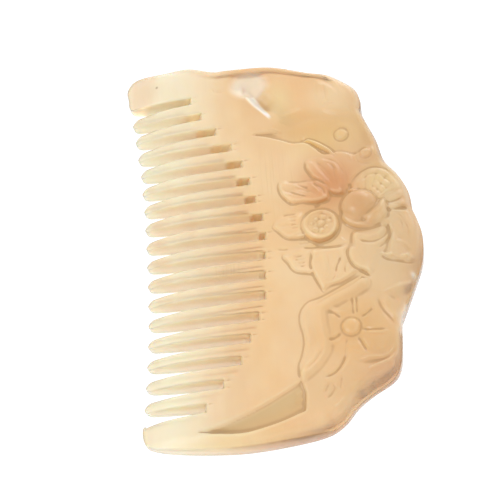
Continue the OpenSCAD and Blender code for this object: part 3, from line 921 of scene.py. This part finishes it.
def side_points(i, upper, tip_x, guard):
    """One side of slot i from the tips to its root: (back, face) rows."""
    size = SLOT_ROOTS[i] - tip_x
    count = max(3, int((size - SIDE_START) / SIDE_STEP))
    steps = TIP_STEPS + list(np.linspace(SIDE_START, size - 0.25, count)) + [size]
    if guard:
        steps = [s for s in steps if s >= GUARD_START]
    rows = []
    for s in steps:
        share = 1 - s / size
        if guard:
            half = 0.95 + 0.3 * min(share / 0.5, 1)
            half += 0.85 * max(0, (share - 0.5) / 0.5) ** 1.6
        else:
            half = PITCH / 2 - tooth_half(share, s)
        y = slot_y(i) + (half if upper else -half)
        back_x = tip_x + s * (size - ROOT_SLANTS[i]) / size
        rows.append((back_x, y, tip_x + s, y, 0))
    return rows


def comb_edge():
    """Rows around the comb: x, y on the back, x, y on the face, and the height
    of the side wall, which is 0 in the slots."""
    curve = outline_curve(OUTLINE, 0, GUARD_TIP_ROW, 10)
    rows = [(p[0], p[1], p[0], p[1], p[WALL]) for p in curve]
    rows += [(x, y, x, y, TIP_HEIGHT) for x, y in WIDE_GUARD_END]
    for i in range(TEETH + 1):
        upper_tip = TOOTH_TIPS[i - 1] if i else WIDE_GUARD_TIP
        lower_tip = TOOTH_TIPS[i] if i < TEETH else NARROW_GUARD_TIP
        # the two sides of a tooth share the point at its tip
        rows += side_points(i, True, upper_tip, i == 0)[min(i, 1):]
        x = SLOT_ROOTS[i]
        for y in (slot_y(i) + f for f in (0.6, 0.2, -0.2, -0.6)):
            rows.append((x - ROOT_SLANTS[i], y, x, y, 0))
        rows += side_points(i, False, lower_tip, i == TEETH)[::-1]
    rows += [(x, y, x, y, TIP_HEIGHT) for x, y in NARROW_GUARD_END]
    return np.array(rows)


def inward(loop):
    run = np.roll(loop, -1, 0) - np.roll(loop, 1, 0)
    run /= np.maximum(np.linalg.norm(run, axis=1), TINY)[:, None]
    return np.stack([-run[:, 1], run[:, 0]], 1)


def lattice(loop):
    """Points of a fine triangular lattice inside a loop, coarser on the teeth."""
    tree = KDTree(len(loop) * 3)
    nxt = np.roll(loop, -1, 0)
    ends = [a + (b - a) * t for a, b in zip(loop, nxt) for t in (0, 1 / 3, 2 / 3)]
    for k, (x, y) in enumerate(ends):
        tree.insert((x, y, 0), k)
    tree.balance()
    out = []
    for step, low_x, high_x in (
        (TEETH_STEP, -37.0, TEETH_END_X), (FACE_STEP, TEETH_END_X, 37.0)
    ):
        for j, y in enumerate(np.arange(-53.0, 53.0, step * 0.866)):
            cross = (loop[:, 1] > y) != (nxt[:, 1] > y)
            a, b = loop[cross], nxt[cross]
            hits = a[:, 0] + (y - a[:, 1]) * (b[:, 0] - a[:, 0]) / (b[:, 1] - a[:, 1])
            xs = np.arange(low_x + (j % 2) * step / 2, high_x, step)
            for x in xs[np.searchsorted(np.sort(hits), xs) % 2 == 1]:
                if tree.find((x, y, 0))[2] > LATTICE_CLEAR * step:
                    out.append((x, y))
    return np.array(out)


def triangulate(loop, inside):
    count = len(loop)
    points = [Vector((float(x), float(y))) for x, y in np.vstack([loop, inside])]
    made = delaunay_2d_cdt(points, [], [list(range(count))], 1, 1e-7, True)
    origin = [ids[0] if ids else -1 for ids in made[3]]
    tri = np.array([[origin[v] for v in f] for f in made[2]])
    if (tri < 0).any():
        raise RuntimeError("the edge of the comb crosses itself")
    # a triangle of edge points alone may lie in a slot or outside
    edge = np.nonzero((tri < count).all(1))[0]
    keep = np.ones(len(tri), bool)
    keep[edge] = inside_loop(loop[tri[edge]].mean(1), loop)
    return tri[keep]


def build_comb():
    """Points and triangles of the comb, and how much each point is on the wall
    of a slot and on the thin rim."""
    edge = comb_edge()
    back, face, wall = edge[:, 0:2], edge[:, 2:4], edge[:, 4]
    n, back_n = inward(face), inward(back)
    slot_row = wall == 0
    from_tip = face[:, 0] - row_x(face[:, 1], TIP_Y, TOOTH_TIPS)
    soft = np.where(slot_row, 0.28 + 0.24 * smoothstep((from_tip - 1.2) / 3), 0.3)
    inner = face + n * soft[:, None]
    top = height_at(inner)
    shoulder = np.where(slot_row, top - soft, np.minimum(wall, top - 0.15))
    count = len(edge)
    rings = [
        np.column_stack([back + back_n * 0.26, np.zeros(count)]),
        np.column_stack([back + back_n * 0.08, np.full(count, 0.08)]),
        np.column_stack([back, np.full(count, 0.28)]),
        np.column_stack([(back + face) / 2, 0.2 + shoulder / 2]),
        np.column_stack([face, shoulder]),
        np.column_stack([face + n * (soft * 0.3)[:, None], shoulder + 0.72 * (top - shoulder)]),
        np.column_stack([inner, top]),
    ]
    inside = lattice(inner)
    verts = np.vstack([*rings, np.column_stack([inside, height_at(inside)])])
    # sides, the back, then the face with its relief
    faces = []
    i = np.arange(count)
    j = (i + 1) % count
    for k in range(len(rings) - 1):
        a, b = k * count, (k + 1) * count
        faces.append(np.stack([a + i, a + j, b + j], 1))
        faces.append(np.stack([a + i, b + j, b + i], 1))
    faces.append(triangulate(rings[0][:, :2], np.empty((0, 2)))[:, ::-1])
    faces.append((len(rings) - 1) * count + triangulate(inner, inside))
    # more wall near the roots, where the slot walls get the most painted light; the rim, painted
    # with shade, is up and left of the tips and guards
    root = row_x(face[:, 1], SLOT_Y, SLOT_ROOTS)
    near_root = 0.25 + 0.65 * smoothstep(1 - (root - face[:, 0]) / 3)
    slot = np.zeros(len(verts))
    slot[:5 * count] = np.tile(np.where(slot_row, near_root, 0), 5)
    thin = smoothstep((-25 - face[:, 0]) / 6) * smoothstep(0.3 - n @ np.array([-0.7, 0.7]))
    rim = np.zeros(len(verts))
    for k, most in ((3, 0.2), (4, 1.0), (5, 1.0), (6, 0.3)):
        rim[k * count:(k + 1) * count] = most * thin
    return verts, np.vstack(faces), slot, rim


def pale_and_highlight_share(points):
    """1 where the horn is pale: hazy thin horn with painted light through it in the dish of the
    top hollow, and painted highlights along the bevel of that hollow and along two edges.
    """
    p = points - RELIEF_AT
    gap, along = bevel_gap(p)
    half = 0.25 + BEVEL_HALF * (1.1 - along)
    bevel = np.exp(-(((gap - half) / half) ** 4))
    bevel *= smoothstep(along / 0.15) * smoothstep((1 - along) / 0.15)
    dish = 0.62 * smoothstep((1.15 - gap_from(p, DISH_AT, (5.6, 4.4))) / 0.6)
    share = np.maximum(bevel, dish)
    for line, width in HIGHLIGHT_EDGES:
        far, _ = line_distance(p, smooth_line(line), 3 * width)
        share = np.maximum(share, 0.8 * bell(far, width))
    return np.clip(share, 0, 1)


def recess_shade_share(points):
    """1 where greenish tan shade is painted: in the crescent, and less so beside
    the bevel at the top."""
    p = points - RELIEF_AT
    crescent, _ = crescent_gaps(p)
    gap, _ = bevel_gap(p)
    beside = smoothstep((gap - 1.6) / 1.2) * smoothstep((6.5 - gap) / 3)
    beside *= smoothstep((48 - p[:, 1]) / 5)
    return np.maximum(smoothstep(crescent / 1.4), 0.45 * beside)


verts, tris, slot_walls, rims = build_comb()

# The tables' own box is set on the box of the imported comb
node_low, node_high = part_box("comb")
low, high = verts.min(0), verts.max(0)
size = (np.array(node_high)[:2] - np.array(node_low)[:2]) / MM
fit = size / (high[:2] - low[:2])
middle = (high[:2] + low[:2]) / 2
placed = verts.copy()
placed[:, :2] = (verts[:, :2] - middle) * fit
mesh = bpy.data.meshes.new("horn_comb")
mesh.from_pydata((placed * MM).tolist(), [], tris.tolist())
mesh.validate()
mesh.shade_smooth()

# Shares for the colour: where the horn is cut or sunk (painted shade in cuts and hollows,
# painted highlight on crests), pale (hazy horn and painted highlights), in the crescent and
# beside the top bevel (painted shade), on a slot wall (painted light) or on the rim (painted
# shade). The relief blurred two ways is high in cuts and low on ridges.
flat = verts[:, :2]
on_face = np.clip((verts[:, 2] - 3.0) / 1.5, 0, 1)
fine = blur(CARVED, 2.4) - blur(CARVED, 0.7)
broad = blur(CARVED, 9.0) - blur(CARVED, 2.0)
for name, values in (
    ("cut", np.clip(sample(fine, flat) / 0.25, -1, 1) * on_face),
    ("sunk", np.clip(sample(broad, flat) / 0.9, -1, 1) * on_face),
    ("pale", pale_and_highlight_share(flat) * on_face),
    ("recess_shade", recess_shade_share(flat) * on_face),
    ("slot", slot_walls),
    ("rim", rims),
):
    made = mesh.attributes.new(name, "FLOAT", "POINT")
    made.data.foreach_set("value", values.astype(np.float32))
comb = bpy.data.objects.new("horn_comb", mesh)
bpy.context.scene.collection.objects.link(comb)

# Horn

CREAM = (0.95, 0.87, 0.68, 1)
HONEY = (0.84, 0.565, 0.31, 1)
TAN = (0.62, 0.42, 0.22, 1)
AMBER_SHADE = (0.76, 0.47, 0.21, 1)
OLIVE_SHADE = (0.78, 0.56, 0.25, 1)
ROSE = (0.66, 0.30, 0.13, 1)
BROWN = (0.45, 0.25, 0.10, 1)
RUSSET = (0.64, 0.38, 0.20, 1)
HAZE_AND_HIGHLIGHT = (1.0, 0.97, 0.90, 1)
DRAB = (0.62, 0.46, 0.24, 1)
RIM_SHADE = (0.38, 0.27, 0.18, 1)
PEACH = (0.86, 0.58, 0.36, 1)
SPECK = (0.30, 0.18, 0.09, 1)
PINK = (0.76, 0.48, 0.31, 1)
PALE_OLIVE = (0.88, 0.74, 0.44, 1)
SLOT_WALL_LIGHT = (0.95, 0.83, 0.58, 1)
# Places where the horn has another colour, and places where shade is painted: middle, radii,
# share, colour
ZONES = [
    # painted shade in the broad hollow above the flower
    ((14, 27, 7), (16, 9, 30), 0.7, OLIVE_SHADE),
    ((15.5, 11.5, 8), (14, 13, 30), 1.0, ROSE),
    # painted shade in the broad hollow above the flower
    ((10.5, 29.0, 7), (13, 6, 30), 0.7, AMBER_SHADE),
    # painted shadow of the ribbon on the second flower
    ((19, -27, 8), (15, 15, 30), 0.75, AMBER_SHADE),
    ((27, 11, 8), (8, 7, 30), 0.6, PALE_OLIVE),
    ((-14, -52, 5), (22, 6, 30), 0.5, PALE_OLIVE),
    ((4.5, 38, 7), (6, 9, 30), 0.7, PALE_OLIVE),
    ((25.5, -38.5, 4), (11, 7, 30), 0.8, PINK),
    ((13, -42, 7.5), (15, 8.5, 3.2), 0.45, TAN),
    ((22.5, 2.6, 9), (7, 7.5, 9), 0.8, RUSSET),
    ((12.2, 0.0, 8), (6.5, 6.5, 9), 0.5, DRAB),
    # painted shadow below the bud
    ((22.1, -2.2, 8), (6, 2.4, 6), 0.7, RUSSET),
    ((32.6, 3.6, 7), (1.8, 3.6, 6), 0.5, RUSSET),
    ((18, 37, 7), (8, 8, 30), 0.3, CREAM),
]
SPECKS = [
    ((-15.7, -9.1, 4.5), (0.75, 0.75, 1.5), 0.9, SPECK),
    ((-27.5, 47.8, 5.5), (0.6, 0.6, 1.5), 0.7, SPECK),
]
# Places with the most scratches: middle, radii
SCRATCHED = [((2, 14, 7), (9, 13, 30)), ((-12, -9, 5), (9, 5, 30))]


def map_range(tree, value, low, high, least=0.0, most=1.0, ease="SMOOTHSTEP"):
    """Node that takes low to high over to least to most."""
    m = tree.nodes.new("ShaderNodeMapRange")
    m.interpolation_type = ease
    m.inputs["From Min"].default_value = low
    m.inputs["From Max"].default_value = high
    m.inputs["To Min"].default_value = least
    m.inputs["To Max"].default_value = most
    tree.links.new(value, m.inputs["Value"])
    return m.outputs[0]


def horn_material():
    mat = bpy.data.materials.new("horn")
    mat.use_nodes = True
    tree = mat.node_tree
    tree.nodes.clear()
    link = tree.links.new
    out = tree.nodes.new("ShaderNodeOutputMaterial")
    shader = tree.nodes.new("ShaderNodeBsdfPrincipled")
    link(shader.outputs[0], out.inputs["Surface"])
    coords = tree.nodes.new("ShaderNodeTexCoord")
    split = tree.nodes.new("ShaderNodeSeparateXYZ")
    link(coords.outputs["Object"], split.inputs[0])
    x = split.outputs["X"]

    def feed(socket, value):
        if isinstance(value, (int, float, tuple)):
            socket.default_value = value
        else:
            link(value, socket)

    def ramp(value, low, high, *to):
        return map_range(tree, value, low, high, *to)

    def calc(op, a, b):
        m = tree.nodes.new("ShaderNodeMath")
        m.operation = op
        feed(m.inputs[0], a)
        feed(m.inputs[1], b)
        return m.outputs[0]

    def times(a, b):
        return calc("MULTIPLY", a, b)

    def mix(factor, a, b):
        m = tree.nodes.new("ShaderNodeMix")
        m.data_type = "RGBA"
        for key, value in ((0, factor), (6, a), (7, b)):
            feed(m.inputs[key], value)
        return m.outputs[2]

    def tint(below, where, share, colour):
        return mix(times(where, share), below, colour)

    def near(place, radii):
        """1 at a place on the comb, 0 beyond the radii, in millimetres."""
        m = tree.nodes.new("ShaderNodeMapping")
        m.inputs["Location"].default_value = [-p / r for p, r in zip(place, radii)]
        m.inputs["Scale"].default_value = [1 / MM / r for r in radii]
        link(coords.outputs["Object"], m.inputs["Vector"])
        length = tree.nodes.new("ShaderNodeVectorMath")
        length.operation = "LENGTH"
        link(m.outputs[0], length.inputs[0])
        return ramp(length.outputs["Value"], 1.0, 0.0)

    def noise(scale, detail, stretch=(1, 1, 1)):
        m = tree.nodes.new("ShaderNodeMapping")
        m.inputs["Scale"].default_value = stretch
        link(coords.outputs["Object"], m.inputs["Vector"])
        t = tree.nodes.new("ShaderNodeTexNoise")
        t.inputs["Scale"].default_value = scale
        t.inputs["Detail"].default_value = detail
        link(m.outputs[0], t.inputs["Vector"])
        return t.outputs["Fac"]

    def shown(name):
        made = tree.nodes.new("ShaderNodeAttribute")
        made.attribute_name = name
        return made.outputs["Fac"]

    # pale at the teeth, darker towards the spine, with cloudy stretches
    body = mix(ramp(x, -0.028, 0.0), CREAM, HONEY)
    body = tint(body, ramp(x, 0.010, 0.034), 0.95, TAN)
    body = tint(body, ramp(noise(55, 3), 0.38, 0.7), 0.3, CREAM)
    body = tint(body, ramp(noise(95, 3, (1, 0.3, 1)), 0.45, 0.72), 0.4, PEACH)
    # other colours of the horn, and painted shade in the broad hollow, on the second flower and
    # below the bud
    for place, radii, share, colour in ZONES:
        body = tint(body, near(place, radii), share, colour)
    # painted shade in the crescent and beside the bevel of the top hollow
    body = tint(body, shown("recess_shade"), 0.85, DRAB)
    body = tint(body, ramp(noise(130, 4, (1, 0.35, 1)), 0.42, 0.72), 0.1, BROWN)
    # painted shade in the hollows and cuts, painted highlight on the crests
    body = tint(body, ramp(shown("sunk"), 0.1, 1.0), 0.4, AMBER_SHADE)
    body = tint(body, ramp(shown("cut"), 0.12, 0.9), 0.62, BROWN)
    body = tint(body, ramp(shown("cut"), -0.2, -1.0), 0.12, CREAM)
    # painted light: the slot walls are painted pale, most near the roots, to lift the shade
    # inside the slots
    body = tint(body, shown("slot"), 0.8, SLOT_WALL_LIGHT)
    # painted shade: a dark outline along the thin rim of the tips and guards
    body = tint(body, shown("rim"), 0.85, RIM_SHADE)
    # hazy where it is cut thin: pale horn with painted light through the thin dish, and painted
    # highlights along the bevel and two edges
    body = mix(shown("pale"), body, HAZE_AND_HIGHLIGHT)
    # fine scratches across the comb, most of them beside the flower
    lines = noise(2200, 2, (1, 0.03, 1))
    marked = calc("MAXIMUM", *(near(*place) for place in SCRATCHED))
    body = tint(body, ramp(lines, 0.5, 0.75), times(marked, 0.3), TAN)
    for place, radii, share, colour in SPECKS:
        body = tint(body, near(place, radii), share, colour)
    link(body, shader.inputs["Base Color"])
    rough = map_range(tree, noise(300, 4), 0.3, 0.7, 0.1, 0.24, "LINEAR")
    link(rough, shader.inputs["Roughness"])
    shader.inputs["IOR"].default_value = 1.5
    shader.inputs["Subsurface Weight"].default_value = 1.0
    shader.inputs["Subsurface Radius"].default_value = (1.0, 0.75, 0.5)
    shader.inputs["Subsurface Scale"].default_value = 0.0025
    # clearer towards the spine, less so on the pale marks (hazy horn and painted highlights) and
    # on the sawn slot walls (painted light)
    clear = calc("ADD", times(ramp(x, -0.020, 0.0), 0.26), 0.32)
    sawn = times(ramp(shown("slot"), 0.3, 0.9), 0.62)
    matt = calc("ADD", times(shown("pale"), 0.5), sawn)
    clear = times(clear, calc("SUBTRACT", 1.0, matt))
    # light inside the horn is not dimmed each time that it meets the surface
    side = tree.nodes.new("ShaderNodeNewGeometry")
    clear = calc("MAXIMUM", side.outputs["Backfacing"], clear)
    link(clear, shader.inputs["Transmission Weight"])
    inside = tree.nodes.new("ShaderNodeVolumeAbsorption")
    inside.inputs["Color"].default_value = (0.95, 0.85, 0.63, 1)
    inside.inputs["Density"].default_value = 120.0
    link(inside.outputs[0], out.inputs["Volume"])
    # grain and scratches
    grain = calc("ADD", noise(900, 3, (1, 0.12, 1)), times(lines, calc("ADD", marked, 0.15)))
    bump = tree.nodes.new("ShaderNodeBump")
    bump.inputs["Strength"].default_value = 0.2
    bump.inputs["Distance"].default_value = 0.0002
    link(grain, bump.inputs["Height"])
    link(bump.outputs[0], shader.inputs["Normal"])
    return mat


comb.data.materials.append(horn_material())
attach(comb, "root")
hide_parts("comb")

# Floor

FLOOR_HALF = 3
FLOOR_Z = -0.00006
FLOOR_LIGHT = 1.1

sides = ((-1, -1), (1, -1), (1, 1), (-1, 1))
corners = [(x * FLOOR_HALF, y * FLOOR_HALF, FLOOR_Z) for x, y in sides]
floor_mesh = bpy.data.meshes.new("floor")
floor_mesh.from_pydata(corners, [], [(0, 1, 2, 3)])
floor = bpy.data.objects.new("floor", floor_mesh)
bpy.context.scene.collection.objects.link(floor)
floor_mat = bpy.data.materials.new("floor")
floor_mat.use_nodes = True
floor_shader = floor_mat.node_tree.nodes["Principled BSDF"]
floor_shader.inputs["Base Color"].default_value = (0.02, 0.02, 0.02, 1)
floor_shader.inputs["Roughness"].default_value = 0.9
floor_shader.inputs["Emission Color"].default_value = (1, 1, 1, 1)
floor_shader.inputs["Emission Strength"].default_value = FLOOR_LIGHT
floor_mesh.materials.append(floor_mat)

# Light: a wide soft sky from the top right, two soft boxes for the shine, and a
# low soft light on the walls of the teeth. Direction; cosine where it starts and
# where it is full; least and most light

SKY = [
    ((0.3, 0.75, 0.55), -0.3, 1.0, 0.36, 0.89),
    ((-0.6, -0.2, 0.77), 0.92, 0.985, 0.0, 2.6),
    ((0.3, 0.9, 0.3), 0.92, 0.985, 0.0, 2.0),
    ((-0.15, -0.95, 0.2), 0.3, 1.0, 0.0, 0.45),
]

world = bpy.data.worlds.new("studio")
world.use_nodes = True
sky = world.node_tree
where = sky.nodes.new("ShaderNodeTexCoord")


def glow(toward, low, high, least, most):
    """Light from a part of the sky: least beyond it, most in its middle."""
    cosine = sky.nodes.new("ShaderNodeVectorMath")
    cosine.operation = "DOT_PRODUCT"
    cosine.inputs[1].default_value = Vector(toward).normalized()
    sky.links.new(where.outputs["Generated"], cosine.inputs[0])
    return map_range(sky, cosine.outputs["Value"], low, high, least, most)


light = glow(*SKY[0])
for part in SKY[1:]:
    total = sky.nodes.new("ShaderNodeMath")
    sky.links.new(light, total.inputs[0])
    sky.links.new(glow(*part), total.inputs[1])
    light = total.outputs[0]
sky.links.new(light, sky.nodes["Background"].inputs["Strength"])
sky.nodes["Background"].inputs["Color"].default_value = (1, 1, 1, 1)
bpy.context.scene.world = world

# Camera, fitted to the photograph

CAMERA_AT = (0.02535, -0.13511, 0.25576)
CAMERA_LOOK = (-0.1084, 0.463, -0.8797)
CAMERA_RIGHT = (0.987, -0.0552, -0.1507)
LENS = 84.4
SENSOR = 36

look = Vector(CAMERA_LOOK).normalized()
right = Vector(CAMERA_RIGHT)
right = (right - right.dot(look) * look).normalized()
up = right.cross(look)
camera_data = bpy.data.cameras.new("camera")
camera_data.sensor_width = SENSOR
camera_data.lens = LENS
camera_data.clip_start = 0.01
camera = bpy.data.objects.new("camera", camera_data)
camera.matrix_world = Matrix((
    (right.x, up.x, -look.x, CAMERA_AT[0] - middle[0] * MM),
    (right.y, up.y, -look.y, CAMERA_AT[1] - middle[1] * MM),
    (right.z, up.z, -look.z, CAMERA_AT[2]),
    (0, 0, 0, 1),
))
bpy.context.scene.collection.objects.link(camera)
bpy.context.scene.camera = camera
bpy.context.scene.view_settings.view_transform = "Standard"
